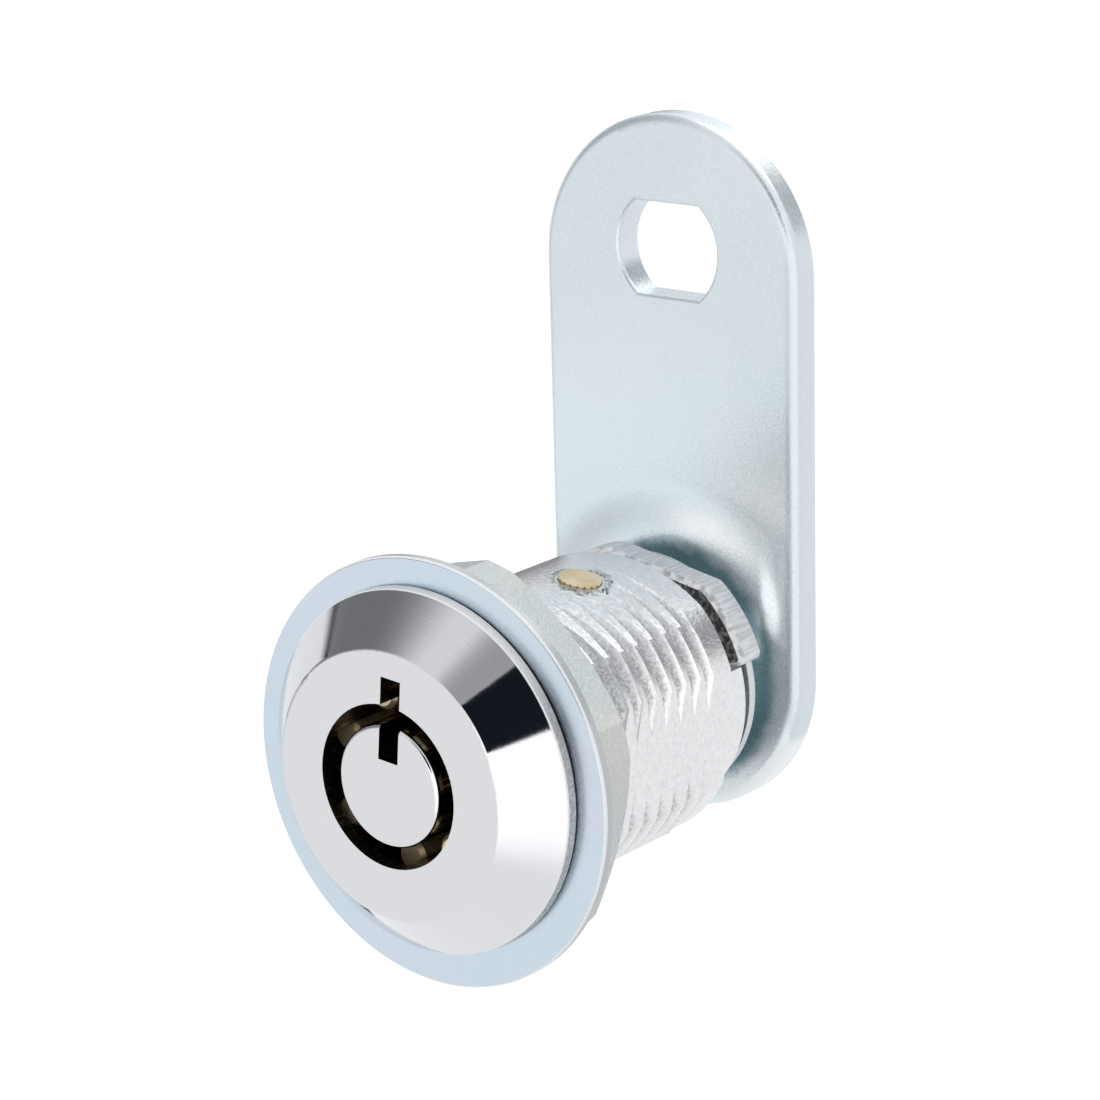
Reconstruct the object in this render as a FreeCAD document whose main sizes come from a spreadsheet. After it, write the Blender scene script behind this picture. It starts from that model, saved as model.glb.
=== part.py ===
import FreeCAD, Part
import math
import os
import Sketcher
from FreeCAD import Placement, Rotation, Vector

# Tubular cam lock. The lock's axis is Y, the front faces -Y, the cam points up along +Z.
# The origin is on the axis in the plane where the dress washer bears on the panel.
# Lengths are millimetres and angles degrees.
SIZES = {
    # Head and barrel
    "face_radius": 8.1, "cone_radius": 10.98, "cone_depth": 2.8, "rim_radius": 11.05,
    "head_height": 3.58, "face_edge": 0.4, "rim_relief": 0.2, "barrel_radius": 9.5, "barrel_length": 17.0,
    "thread_pitch": 1.41, "thread_depth": 0.72, "thread_root": 0.16, "thread_flank": 0.5,
    "thread_over": 0.1, "thread_start": 2.1, "thread_length": 12.9, "barrel_taper": 0.3,
    "plain_length": 1.7, "plain_radius": 9.38, "flat_distance": 8.65, "crown_radius": 11.0,
    "crown_drop": 2.35, "crown_turn": 5.0, "crown_reach": 14.0, "collar_radius": 7.4,
    "collar_length": 1.55,
    # Keyway
    "key_line_turn": 5.0, "keyway_radius": 4.95, "lip_thickness": 0.85, "notch_half": 0.72,
    "notch_reach": 6.6, "notch_clear": 0.5, "cavity_radius": 6.52,
    # Turning spindle
    "post_radius": 3.72, "post_edge": 0.35, "post_notch_floor": 1.55, "key_depth": 5.6,
    "drum_radius": 6.45, "drum_length": 6.2, "drum_play": 0.05, "drum_notch_depth": 1.3,
    "shaft_radius": 3.6, "tail_flat": 2.8, "tail_chamfer": 0.5, "tail_stand_out": 1.1,
    # Pins and springs
    "pin_count": 7, "pin_circle": 5.1, "pin_radius": 1.0, "pin_bore_play": 0.05,
    "pin_tip": 0.25, "driver_length": 2.2, "spring_length": 3.2, "spring_wire": 0.3,
    "spring_radius": 0.7, "spring_turns": 2.5,
    # Stationary bushing and its retaining pin
    "bushing_play": 0.03, "shaft_play": 0.06, "retainer_radius": 1.3, "retainer_play": 0.06,
    "retainer_place": 11.78, "retainer_angle": 11.3, "retainer_top": 8.85, "retainer_foot": 4.6,
    "serration_count": 18, "serration_depth": 0.16, "serration_length": 0.8,
    # Dress washer and mounting nut
    "dress_radius": 13.0, "dress_thickness": 0.75, "dress_play": 0.35, "dress_edge": 0.12,
    "dress_drop": 0.3,
    "nut_flats": 22.3, "nut_thickness": 3.55, "nut_turn": 14.8, "nut_play": 0.08,
    "nut_corner": 12.35, "nut_rim": 13.5, "nut_face": 11.2, "nut_bevel": 0.85,
    # Stop lug and the stack on the tail
    "lug_radius": 8.35, "lug_reach": 2.3, "lug_arc": 156.4, "lug_middle": 117.2, "lug_root": 0.3,
    "stack_play": 0.05, "stop_thickness": 1.9, "hub_radius": 6.3, "tab_radius": 9.1, "tab_flat": 7.95,
    "tab_back": 8.5, "tab_start": 16.5, "tab_end": 128.0, "tab_flat_turn": 10.2, "tab_corner": 0.5,
    "tab_edge": 0.3,
    "flange_radius": 7.8, "flange_thickness": 0.6, "spacer_radius": 6.0, "spacer_length": 2.1,
    "tail_play": 0.05,
    # Cam
    "cam_half_width": 9.5, "cam_reach": 25.15, "cam_thickness": 2.0, "cam_edge": 0.7,
    "slot_place": 26.35, "slot_radius": 3.68, "slot_flat": 2.88, "slot_edge": 0.3,
    # Lock washer and cam nut
    "lock_washer_radius": 6.0, "lock_washer_thickness": 0.7, "tooth_count": 10,
    "tooth_depth": 0.9, "tooth_gap": 0.55,
    "cam_nut_flats": 11.0, "cam_nut_thickness": 4.0, "cam_nut_bevel": 0.45,
    "cam_nut_play": 0.03, "cam_nut_face": 5.5, "cam_nut_rim": 6.5,
    # How far a cutting outline runs past the solid that it cuts
    "overrun": 1.0,
}

# How far each key pin is pushed back from the lip by its cut in the key
KEY_CUTS = {"cut_1": 0.6, "cut_2": 1.2, "cut_3": 0.35, "cut_4": 1.5,
            "cut_5": 0.6, "cut_6": 1.3, "cut_7": 1.05}
SIZES.update(KEY_CUTS)

doc = FreeCAD.newDocument("tubular_cam_lock")
sheet = doc.addObject("Spreadsheet::Sheet", "Sizes")
for row, (name, size) in enumerate(SIZES.items(), start=1):
    sheet.set("A%d" % row, name)
    sheet.set("B%d" % row, "%g" % size)
    sheet.setAlias("B%d" % row, name)
doc.recompute()

# Depths along the axis of the front face, of the bushing and of each piece on the tail
FACE = "0 - dress_thickness - head_height"
BUSHING_AT = FACE + " + lip_thickness + drum_play + drum_length + drum_play"
STOP_AT = "barrel_length + collar_length + stack_play"
SPACER_AT = STOP_AT + " + stop_thickness"
CAM_AT = SPACER_AT + " + flange_thickness + spacer_length"
LOCK_AT = CAM_AT + " + cam_thickness"
NUT_AT = LOCK_AT + " + lock_washer_thickness"

NEAR = 1e-4
BODIES = []


def cells(text):
    """Give each size name in a formula its sheet."""
    return " ".join("Sizes." + word if word in SIZES else word for word in text.split())


def value(text):
    """Work out a sum of sizes such as 'a + b - c / d'."""
    total, term, sign, divide = 0.0, 0.0, 1.0, False
    for word in text.split():
        if word in ("+", "-"):
            sign = 1.0 if word == "+" else -1.0
        elif word == "/":
            divide = True
        elif divide:
            total += term / (SIZES[word] if word in SIZES else float(word)) - term
            divide = False
        else:
            term = sign * (SIZES[word] if word in SIZES else float(word))
            total += term
            sign = 1.0
    return total


def new_body(name, y="0", turn=None):
    """Start a body whose own origin lies on the lock's axis at depth y."""
    body = doc.addObject("PartDesign::Body", name)
    body.Label = name
    body.Placement = Placement(Vector(0, value(y), 0), Rotation(Vector(0, 1, 0), 0))
    body.setExpression("Placement.Base.y", cells(y))
    if turn:
        body.Placement.Rotation = Rotation(Vector(0, 1, 0), value(turn))
        body.setExpression("Placement.Rotation.Angle", cells(turn))
    BODIES.append(body)
    return body


def plane(body, role):
    return [item for item in body.Origin.OriginFeatures if item.Role == role][0]


def new_sketch(body, role, name, turn=None, lift=None):
    """Put a sketch on one of the body's own planes, turned about the lock's axis or lifted."""
    sketch = body.newObject("Sketcher::SketchObject", name)
    sketch.AttachmentSupport = [(plane(body, role), "")]
    sketch.MapMode = "FlatFace"
    axis = Vector(0, 1, 0) if role == "XY_Plane" else Vector(0, 0, 1)
    sketch.AttachmentOffset = Placement(Vector(0, 0, value(lift or "0")),
                                        Rotation(axis, value(turn or "0")))
    if turn:
        sketch.setExpression("AttachmentOffset.Rotation.Angle", cells(turn))
    if lift:
        sketch.setExpression("AttachmentOffset.Base.z", cells(lift))
    return sketch


def bind(sketch, kind, *items):
    """Add one measured constraint; its last item is the formula that drives it."""
    refs, text = items[:-1], items[-1]
    index = sketch.addConstraint(Sketcher.Constraint(kind, *refs, value(text)))
    sketch.setExpression("Constraints[%d]" % index, cells(text))


def pin_point(sketch, geometry, point, x, y):
    """Fix a point at x, y from the sketch's origin."""
    for kind, text, axis in (("DistanceX", x, -2), ("DistanceY", y, -1)):
        if text == "0":
            sketch.addConstraint(Sketcher.Constraint("PointOnObject", geometry, point, axis))
        else:
            bind(sketch, kind, -1, 1, geometry, point, text)


def polygon(sketch, corners):
    """Draw a closed outline through corners given as pairs of formulas."""
    spots = [Vector(value(x), value(y), 0) for x, y in corners]
    first = sketch.GeometryCount
    count = len(spots)
    for i in range(count):
        sketch.addGeometry(Part.LineSegment(spots[i], spots[(i + 1) % count]))
    for i in range(count):
        follower = first + (i + 1) % count
        sketch.addConstraint(Sketcher.Constraint("Coincident", first + i, 2, follower, 1))
    for i, (x, y) in enumerate(corners):
        pin_point(sketch, first + i, 1, x, y)


def circle(sketch, radius, x="0", y="0"):
    spot = Vector(value(x), value(y), 0)
    index = sketch.addGeometry(Part.Circle(spot, Vector(0, 0, 1), value(radius)))
    pin_point(sketch, index, 3, x, y)
    bind(sketch, "Radius", index, radius)


def double_d(sketch, radius, flat, y="0"):
    """Draw a round outline with a flat above and below its centre."""
    big, half, middle = value(radius), value(flat), Vector(0, value(y), 0)
    angle = math.asin(half / big)
    base = Part.Circle(middle, Vector(0, 0, 1), big)
    right = sketch.addGeometry(Part.ArcOfCircle(base, -angle, angle))
    left = sketch.addGeometry(Part.ArcOfCircle(base, math.pi - angle, math.pi + angle))
    reach = big * math.cos(angle)
    top = sketch.addGeometry(Part.LineSegment(middle + Vector(reach, half, 0),
                                              middle + Vector(-reach, half, 0)))
    foot = sketch.addGeometry(Part.LineSegment(middle + Vector(-reach, -half, 0),
                                               middle + Vector(reach, -half, 0)))
    pin_point(sketch, right, 3, "0", y)
    for one, at, other, to in ((right, 3, left, 3), (right, 2, top, 1), (top, 2, left, 1),
                               (left, 2, foot, 1), (foot, 2, right, 1)):
        sketch.addConstraint(Sketcher.Constraint("Coincident", one, at, other, to))
    for line in (top, foot):
        sketch.addConstraint(Sketcher.Constraint("Horizontal", line))
    bind(sketch, "Radius", right, radius)
    bind(sketch, "DistanceY", right, 3, top, 1, flat)
    bind(sketch, "DistanceY", foot, 1, right, 3, flat)


def hexagon(sketch, flats):
    """Draw a hexagon by its width across flats, one corner on the sketch's Y axis."""
    corner = value(flats) / 2 / math.cos(math.radians(30))
    spots = [Vector(corner * math.sin(math.radians(60 * i)),
                    corner * math.cos(math.radians(60 * i)), 0) for i in range(6)]
    for i in range(6):
        sketch.addGeometry(Part.LineSegment(spots[i], spots[(i + 1) % 6]))
    guide = sketch.addGeometry(Part.Circle(Vector(), Vector(0, 0, 1), corner), True)
    pin_point(sketch, guide, 3, "0", "0")
    for i in range(6):
        sketch.addConstraint(Sketcher.Constraint("Coincident", i, 2, (i + 1) % 6, 1))
        sketch.addConstraint(Sketcher.Constraint("PointOnObject", i, 1, guide))
    for i in range(1, 6):
        sketch.addConstraint(Sketcher.Constraint("Equal", 0, i))
    sketch.addConstraint(Sketcher.Constraint("PointOnObject", 0, 1, -2))
    index = sketch.addConstraint(Sketcher.Constraint("Radius", guide, corner))
    sketch.setExpression("Constraints[%d]" % index, "Sizes.%s / 2 / cos(30 deg)" % flats)


def turned(body, corners, name="section", kind="Revolution"):
    """Turn an outline of (radius, depth) corners about the lock's axis."""
    sketch = new_sketch(body, "XY_Plane", name)
    polygon(sketch, corners)
    feature = body.newObject("PartDesign::" + kind, name + "_turned")
    feature.Profile = sketch
    feature.ReferenceAxis = (sketch, ["V_Axis"])
    feature.Angle = 360
    return settle(feature)


def along(body, kind, sketch, length, reverse=False, both=False):
    """Pad or pocket a sketch by a length, on one side or evenly on both sides."""
    feature = body.newObject("PartDesign::" + kind, sketch.Name + "_" + kind.lower())
    feature.Profile = sketch
    feature.Length = value(length)
    feature.setExpression("Length", cells(length))
    feature.Reversed = reverse
    if both:
        feature.SideType = "Symmetric"
    return settle(feature)


def settle(feature):
    """Recompute and make sure that the feature changed its body as it should."""
    doc.recompute()
    if "Invalid" in feature.State or "Error" in feature.State or feature.Shape.isNull():
        raise RuntimeError(feature.Name + " did not build")
    return feature


def polar(body, feature, count, axis="Y_Axis"):
    """Repeat a feature evenly round one of the body's axes."""
    body.Tip = feature
    ring = body.newObject("PartDesign::PolarPattern", feature.Name + "_ring")
    ring.Originals = [feature]
    ring.Axis = (plane(body, axis), [""])
    ring.Angle = 360
    ring.Occurrences = int(SIZES[count])
    ring.setExpression("Occurrences", cells(count))
    feature.Visibility = False
    body.Tip = ring
    return settle(ring)


def edges(feature, test):
    return ["Edge%d" % (i + 1) for i, edge in enumerate(feature.Shape.Edges) if test(edge)]


def dress(body, kind, feature, names, size):
    """Fillet or chamfer the named edges."""
    item = body.newObject("PartDesign::" + kind, feature.Name + "_" + kind.lower())
    item.Base = (feature, names)
    key = "Radius" if kind == "Fillet" else "Size"
    setattr(item, key, value(size))
    item.setExpression(key, cells(size))
    feature.Visibility = False
    body.Tip = item
    return settle(item)


def on_plane(edge, depth):
    return all(abs(vertex.Point.y - depth) < NEAR for vertex in edge.Vertexes)


def build_housing():
    """Cast body: conical head, threaded barrel with two flats, and the rear stop lug."""
    body = new_body("housing", FACE)
    seat = "head_height"
    foot = "head_height + dress_thickness + barrel_length"
    shell = turned(body, [
        ("keyway_radius", "0"), ("face_radius", "0"), ("cone_radius", "cone_depth"),
        ("rim_radius", seat + " - rim_relief"), ("rim_radius - rim_relief", seat),
        ("barrel_radius", seat),
        ("barrel_radius", foot + " - plain_length - barrel_taper"),
        ("plain_radius", foot + " - plain_length"), ("plain_radius", foot),
        ("collar_radius", foot), ("collar_radius", foot + " + collar_length"),
        ("cavity_radius", foot + " + collar_length"), ("cavity_radius", "lip_thickness"),
        ("keyway_radius", "lip_thickness")], "shell")
    rim = edges(shell, lambda e: e.Closed and on_plane(e, 0)
                and abs(e.Curve.Radius - SIZES["face_radius"]) < NEAR)
    dress(body, "Fillet", shell, rim, "face_edge")
    thread(body, seat)
    for side, near, far in (("right", "flat_distance", "barrel_radius + overrun"),
                            ("left", "0 - flat_distance", "0 - barrel_radius - overrun")):
        sketch = new_sketch(body, "XY_Plane", "flat_" + side, "key_line_turn")
        end = foot + " + overrun"
        polygon(sketch, [(near, seat), (far, seat), (far, end), (near, end)])
        along(body, "Pocket", sketch, "barrel_radius + barrel_radius + overrun", both=True)
    crown(body)
    lug(body, foot)
    slot(body, "lip_notch", "post_radius", "notch_reach", "lip_thickness")
    retainer_bore(body, "head_height + dress_thickness + retainer_place")


def thread(body, seat):
    """Cut one true helical groove round the barrel."""
    outline = new_sketch(body, "XY_Plane", "thread_outline")
    begin = seat + " + dress_thickness + thread_start"
    root = "barrel_radius - thread_depth"
    polygon(outline, [
        (root, begin), (root, begin + " + thread_root"),
        ("barrel_radius + thread_over", begin + " + thread_root + thread_flank"),
        ("barrel_radius + thread_over", begin + " - thread_flank")])
    groove = body.newObject("PartDesign::SubtractiveHelix", "thread_groove")
    groove.Profile = outline
    groove.ReferenceAxis = (outline, ["V_Axis"])
    groove.Mode = "pitch-height-angle"
    groove.Pitch = SIZES["thread_pitch"]
    groove.Height = SIZES["thread_length"]
    groove.setExpression("Pitch", "Sizes.thread_pitch")
    groove.setExpression("Height", "Sizes.thread_length")
    settle(groove)


def crown(body):
    """Lower the barrel's top to a broad crown, so that the thread fades out round the pin."""
    sketch = new_sketch(body, "XZ_Plane", "crown", "crown_turn", "0 - head_height - dress_thickness")
    circle(sketch, "crown_radius", "0", "0 - crown_drop")
    circle(sketch, "crown_reach", "0", "0 - crown_drop")
    along(body, "Pocket", sketch, "barrel_length + overrun")


def lug(body, foot):
    """Raise the half ring behind the barrel that the stop plate's tab meets at each end."""
    sketch = new_sketch(body, "XY_Plane", "lug_section", "0 - lug_middle")
    inner, outer = "0 - cavity_radius", "0 - lug_radius"
    begin, end = foot + " - lug_root", foot + " + lug_reach"
    polygon(sketch, [(outer, begin), (inner, begin), (inner, end), (outer, end)])
    ring = body.newObject("PartDesign::Revolution", "lug_ring")
    ring.Profile = sketch
    ring.ReferenceAxis = (sketch, ["V_Axis"])
    ring.Midplane = True
    ring.Angle = SIZES["lug_arc"]
    ring.setExpression("Angle", "Sizes.lug_arc")
    settle(ring)


def retainer_bore(body, depth):
    """Drill radially outward from the axis for the retaining pin."""
    sketch = new_sketch(body, "XY_Plane", "retainer_bore", "retainer_angle")
    circle(sketch, "retainer_radius + retainer_play", "0", depth)
    along(body, "Pocket", sketch, "barrel_radius + overrun", reverse=True)


def slot(body, name, inner, outer, length, turn="0 - key_line_turn"):
    """Cut a keyed slot on the key line, from the front to a depth."""
    sketch = new_sketch(body, "XZ_Plane", name, turn)
    polygon(sketch, [("0 - notch_half", inner), ("notch_half", inner),
                     ("notch_half", outer), ("0 - notch_half", outer)])
    return along(body, "Pocket", sketch, length)


def pin_bores(body, length):
    """Drill the ring of pin holes from the body's front face."""
    sketch = new_sketch(body, "XZ_Plane", "pin_bore", "0 - key_line_turn - 180 / pin_count")
    circle(sketch, "pin_radius + pin_bore_play", "0", "pin_circle")
    polar(body, along(body, "Pocket", sketch, length), "pin_count")


def build_spindle():
    """One turned piece: key post, drum with the pin holes, shaft and flatted tail."""
    body = new_body("spindle", FACE)
    drum_front = "lip_thickness + drum_play"
    drum_rear = drum_front + " + drum_length"
    barrel_end = "head_height + dress_thickness + barrel_length"
    tail_end = "head_height + dress_thickness + " + NUT_AT + " + cam_nut_thickness + tail_stand_out"
    core = turned(body, [
        ("0", "0"), ("post_radius", "0"), ("post_radius", "key_depth"),
        ("keyway_radius", "key_depth"), ("keyway_radius", drum_front),
        ("drum_radius", drum_front), ("drum_radius", drum_rear), ("shaft_radius", drum_rear),
        ("shaft_radius", tail_end), ("0", tail_end)], "core")
    top = dress(body, "Fillet", core, edges(core, lambda e: on_plane(e, 0)), "post_edge")
    end = value(tail_end)
    dress(body, "Chamfer", top, edges(top, lambda e: on_plane(e, end)), "tail_chamfer")
    slot(body, "post_notch", "post_notch_floor", "post_radius + notch_clear", "key_depth")
    slot(body, "drum_notch", "post_radius + notch_clear", "drum_radius + overrun",
         drum_front + " + drum_notch_depth")
    pin_bores(body, drum_rear + " + overrun")
    for side, near, far in (("upper", "tail_flat", "shaft_radius + overrun"),
                            ("lower", "0 - tail_flat", "0 - shaft_radius - overrun")):
        sketch = new_sketch(body, "YZ_Plane", "tail_flat_" + side)
        past = tail_end + " + overrun"
        polygon(sketch, [(barrel_end, near), (past, near), (past, far), (barrel_end, far)])
        along(body, "Pocket", sketch, "shaft_radius + shaft_radius + overrun", both=True)


def build_bushing():
    """Fixed bushing: holds the driver pins and springs and guides the shaft."""
    body = new_body("bushing", BUSHING_AT)
    length = "barrel_length + head_height + dress_thickness - lip_thickness - drum_play " \
             "- drum_length - drum_play"
    outer, inner = "cavity_radius - bushing_play", "shaft_radius + shaft_play"
    turned(body, [(inner, "0"), (outer, "0"), (outer, length), (inner, length)])
    pin_bores(body, "driver_length + spring_length")
    retainer_bore(body, "retainer_place + head_height + dress_thickness - lip_thickness "
                  "- drum_play - drum_length - drum_play")


def build_retaining_pin():
    """Brass pin with a serrated rim, driven through the barrel into the bushing."""
    body = new_body("retaining_pin", "retainer_place", "retainer_angle")
    sketch = new_sketch(body, "XY_Plane", "shank", lift="retainer_foot")
    circle(sketch, "retainer_radius")
    along(body, "Pad", sketch, "retainer_top - retainer_foot")
    groove = new_sketch(body, "XY_Plane", "serration", lift="retainer_top")
    floor, past = "retainer_radius - serration_depth", "retainer_radius + serration_depth"
    polygon(groove, [(floor, "0"), (past, "0 - serration_depth"), (past, "serration_depth")])
    cut = along(body, "Pocket", groove, "serration_length")
    polar(body, cut, "serration_count", "Z_Axis")


def place_on_circle(body, index):
    """Move a body to its seat on the pin circle; the key line lies midway between two seats."""
    turn = "( Sizes.key_line_turn + %d * 180 / Sizes.pin_count ) * 1 deg" % (2 * index + 1)
    angle = math.radians(SIZES["key_line_turn"] + (2 * index + 1) * 180 / SIZES["pin_count"])
    spot = body.Placement.Base
    radius = SIZES["pin_circle"]
    body.Placement.Base = Vector(radius * math.sin(angle), spot.y, radius * math.cos(angle))
    body.setExpression("Placement.Base.x", "Sizes.pin_circle * sin(%s)" % turn)
    body.setExpression("Placement.Base.z", "Sizes.pin_circle * cos(%s)" % turn)


def build_pins():
    """Seven key pins, seven driver pins and seven springs, one set on each pin hole."""
    for index, cut in enumerate(KEY_CUTS):
        number = index + 1
        length = "drum_play + drum_length - " + cut
        key_pin = new_body("key_pin_%d" % number, FACE + " + lip_thickness + " + cut)
        turned(key_pin, [("0", "0"), ("pin_radius - pin_tip", "0"), ("pin_radius", "pin_tip"),
                         ("pin_radius", length), ("0", length)])
        driver = new_body("driver_pin_%d" % number, BUSHING_AT)
        turned(driver, [("0", "0"), ("pin_radius", "0"), ("pin_radius", "driver_length"),
                        ("0", "driver_length")])
        spring = new_body("pin_spring_%d" % number, BUSHING_AT + " + driver_length")
        coil(spring)
        for body in (key_pin, driver, spring):
            place_on_circle(body, index)


def coil(body):
    """Wind one square-wire compression spring."""
    sketch = new_sketch(body, "XY_Plane", "wire")
    far = "spring_radius + spring_wire"
    polygon(sketch, [("spring_radius", "0"), (far, "0"), (far, "spring_wire"),
                     ("spring_radius", "spring_wire")])
    helix = body.newObject("PartDesign::AdditiveHelix", "winding")
    helix.Profile = sketch
    helix.ReferenceAxis = (sketch, ["V_Axis"])
    helix.Mode = "height-turns-angle"
    helix.Height = value("spring_length - spring_wire")
    helix.Turns = SIZES["spring_turns"]
    helix.setExpression("Height", cells("spring_length - spring_wire"))
    helix.setExpression("Turns", "Sizes.spring_turns")
    settle(helix)


def build_dress_washer():
    """Loose washer, hanging low by its play on the barrel."""
    body = new_body("dress_washer", "0 - dress_thickness")
    body.Placement.Base += Vector(0, 0, -SIZES["dress_drop"])
    body.setExpression("Placement.Base.z", cells("0 - dress_drop"))
    inner = "barrel_radius + dress_play"
    disc = turned(body, [(inner, "0"), ("dress_radius", "0"), ("dress_radius", "dress_thickness"),
                         (inner, "dress_thickness")])
    rim = edges(disc, lambda e: e.Closed and abs(e.Curve.Radius - SIZES["dress_radius"]) < NEAR)
    dress(body, "Chamfer", disc, rim, "dress_edge")


def build_nut(name, depth, flats, thickness, bore, corner, turn=None):
    """Hexagon nut whose corners are turned off by an outline of (radius, depth) corners."""
    body = new_body(name, depth, turn)
    sketch = new_sketch(body, "XZ_Plane", "hexagon")
    hexagon(sketch, flats)
    along(body, "Pad", sketch, thickness, reverse=True)
    hole = new_sketch(body, "XZ_Plane", "bore")
    circle(hole, bore)
    along(body, "Pocket", hole, thickness)
    turned(body, corner, "corner", "Groove")


def build_stop_plate():
    """Plate on the tail whose broad tab runs between the two ends of the lug."""
    body = new_body("stop_plate", STOP_AT)
    hub = new_sketch(body, "XZ_Plane", "hub")
    circle(hub, "hub_radius")
    along(body, "Pad", hub, "stop_thickness", reverse=True)
    tab = along(body, "Pad", tab_outline(body), "stop_thickness", reverse=True)
    far = SIZES["hub_radius"] + SIZES["overrun"]
    corners = edges(tab, lambda e: len(e.Vertexes) == 2 and all(
        math.hypot(v.Point.x, v.Point.z) > far for v in e.Vertexes)
        and abs(e.Vertexes[0].Point.y - e.Vertexes[1].Point.y) > SIZES["stop_thickness"] / 2)
    tab = dress(body, "Fillet", tab, corners, "tab_corner")
    front = edges(tab, lambda e: on_plane(e, 0) and all(
        math.hypot(v.Point.x, v.Point.z) > far for v in e.Vertexes))
    dress(body, "Chamfer", tab, front, "tab_edge")
    hole = new_sketch(body, "XZ_Plane", "tail_hole")
    double_d(hole, "shaft_radius + tail_play", "tail_flat + tail_play")
    along(body, "Pocket", hole, "stop_thickness")


def tab_outline(body):
    """Draw the tab: two rays from the axis, an arc at each side, and a straight edge between."""
    sketch = new_sketch(body, "XZ_Plane", "tab")
    radius, back, flat = SIZES["tab_radius"], SIZES["tab_back"], SIZES["tab_flat"]
    middle = math.radians(90 - SIZES["tab_flat_turn"])
    start, end = math.radians(SIZES["tab_start"]), math.radians(SIZES["tab_end"])
    right, left = middle - math.acos(flat / radius), middle + math.acos(flat / back)

    def spot(angle, reach):
        return Vector(reach * math.cos(angle), reach * math.sin(angle), 0)

    def rim(reach, begin, finish):
        base = Part.Circle(Vector(), Vector(0, 0, 1), reach)
        return sketch.addGeometry(Part.ArcOfCircle(base, begin, finish))

    low = sketch.addGeometry(Part.LineSegment(Vector(), spot(start, radius)))
    arc = rim(radius, start, right)
    edge = sketch.addGeometry(Part.LineSegment(spot(right, radius), spot(left, back)))
    side = rim(back, left, end)
    high = sketch.addGeometry(Part.LineSegment(spot(end, back), Vector()))
    for one, at, other, to in ((low, 1, -1, 1), (low, 2, arc, 1), (arc, 2, edge, 1),
                               (edge, 2, side, 1), (side, 2, high, 1), (high, 2, low, 1),
                               (arc, 3, -1, 1), (side, 3, -1, 1)):
        sketch.addConstraint(Sketcher.Constraint("Coincident", one, at, other, to))
    bind(sketch, "Radius", arc, "tab_radius")
    bind(sketch, "Radius", side, "tab_back")
    bind(sketch, "Distance", -1, 1, edge, "tab_flat")
    index = sketch.addConstraint(Sketcher.Constraint("Angle", low, start))
    sketch.setExpression("Constraints[%d]" % index, "Sizes.tab_start * 1 deg")
    index = sketch.addConstraint(Sketcher.Constraint("Angle", high, end - math.pi))
    sketch.setExpression("Constraints[%d]" % index, "(Sizes.tab_end - 180) * 1 deg")
    index = sketch.addConstraint(Sketcher.Constraint("Angle", edge, middle + math.pi / 2))
    sketch.setExpression("Constraints[%d]" % index, "(180 - Sizes.tab_flat_turn) * 1 deg")
    return sketch


def build_cam_spacer():
    """Flanged ring that holds the cam clear of the stop plate."""
    body = new_body("cam_spacer", SPACER_AT)
    inner, length = "shaft_radius + tail_play", "flange_thickness + spacer_length"
    turned(body, [(inner, "0"), ("flange_radius", "0"), ("flange_radius", "flange_thickness"),
                  ("spacer_radius", "flange_thickness"), ("spacer_radius", length),
                  (inner, length)])


def build_cam():
    """Flat cam with round ends, rounded front edges and a second hole near its free end."""
    body = new_body("cam", CAM_AT)
    sketch = new_sketch(body, "XZ_Plane", "outline")
    wide, reach = SIZES["cam_half_width"], SIZES["cam_reach"]
    low = sketch.addGeometry(Part.ArcOfCircle(Part.Circle(Vector(), Vector(0, 0, 1), wide),
                                              math.pi, 2 * math.pi))
    right = sketch.addGeometry(Part.LineSegment(Vector(wide, 0, 0), Vector(wide, reach, 0)))
    high = sketch.addGeometry(Part.ArcOfCircle(
        Part.Circle(Vector(0, reach, 0), Vector(0, 0, 1), wide), 0, math.pi))
    left = sketch.addGeometry(Part.LineSegment(Vector(-wide, reach, 0), Vector(-wide, 0, 0)))
    for one, other in ((low, right), (right, high), (high, left), (left, low)):
        sketch.addConstraint(Sketcher.Constraint("Tangent", one, 2, other, 1))
    pin_point(sketch, low, 3, "0", "0")
    pin_point(sketch, high, 3, "0", "cam_reach")
    bind(sketch, "Radius", low, "cam_half_width")
    plate = along(body, "Pad", sketch, "cam_thickness", reverse=True)
    front = edges(plate, lambda e: on_plane(e, 0))
    rounded = dress(body, "Fillet", plate, front, "cam_edge")
    hole = new_sketch(body, "XZ_Plane", "tail_hole")
    double_d(hole, "shaft_radius + tail_play", "tail_flat + tail_play")
    along(body, "Pocket", hole, "cam_thickness")
    hole = new_sketch(body, "XZ_Plane", "free_hole")
    double_d(hole, "slot_radius", "slot_flat", "slot_place")
    cut = along(body, "Pocket", hole, "cam_thickness")
    place, near = SIZES["slot_place"], SIZES["slot_radius"] + SIZES["slot_edge"]
    rim = edges(cut, lambda e: on_plane(e, 0) and all(
        math.hypot(v.Point.x, v.Point.z - place) < near for v in e.Vertexes))
    dress(body, "Fillet", cut, rim, "slot_edge")


def build_lock_washer():
    """Washer with teeth round its rim."""
    body = new_body("lock_washer", LOCK_AT)
    inner = "shaft_radius + tail_play"
    turned(body, [(inner, "0"), ("lock_washer_radius", "0"),
                  ("lock_washer_radius", "lock_washer_thickness"),
                  (inner, "lock_washer_thickness")])
    gap = new_sketch(body, "XZ_Plane", "tooth_gap")
    floor = "lock_washer_radius - tooth_depth"
    polygon(gap, [("0 - tooth_gap", floor), ("tooth_gap", floor),
                  ("tooth_gap", "lock_washer_radius + overrun"),
                  ("0 - tooth_gap", "lock_washer_radius + overrun")])
    polar(body, along(body, "Pocket", gap, "lock_washer_thickness"), "tooth_count")


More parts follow.
